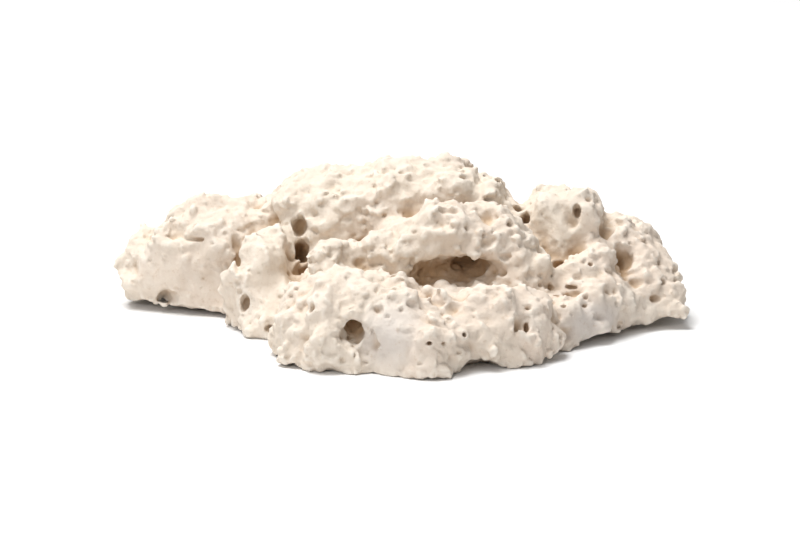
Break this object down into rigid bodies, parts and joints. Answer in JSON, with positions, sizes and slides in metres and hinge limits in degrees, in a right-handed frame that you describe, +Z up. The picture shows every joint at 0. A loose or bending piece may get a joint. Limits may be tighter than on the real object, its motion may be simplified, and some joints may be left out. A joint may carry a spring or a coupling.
{
  "type": "landscape boulder",
  "caption": "Low, lobed boulder of porous reef limestone with a back ridge, a sheltered hollow and borings, worn flat on a small spot where it rests.",
  "frame": {"origin": "on the ground, under the middle of the stone's bounding box", "axes": "+X along the stone's length, towards its cleft end block; +Y away from its front lobes, towards the back ridge; +Z up"},
  "size_m": [0.23, 0.1598, 0.0631],
  "materials": {
    "reef_limestone": "rough, pitted, chalky, cream with tan hollows"
  },
  "bodies": {
    "root": {"boulder": "reef_limestone"}
  },
  "joints": []
}
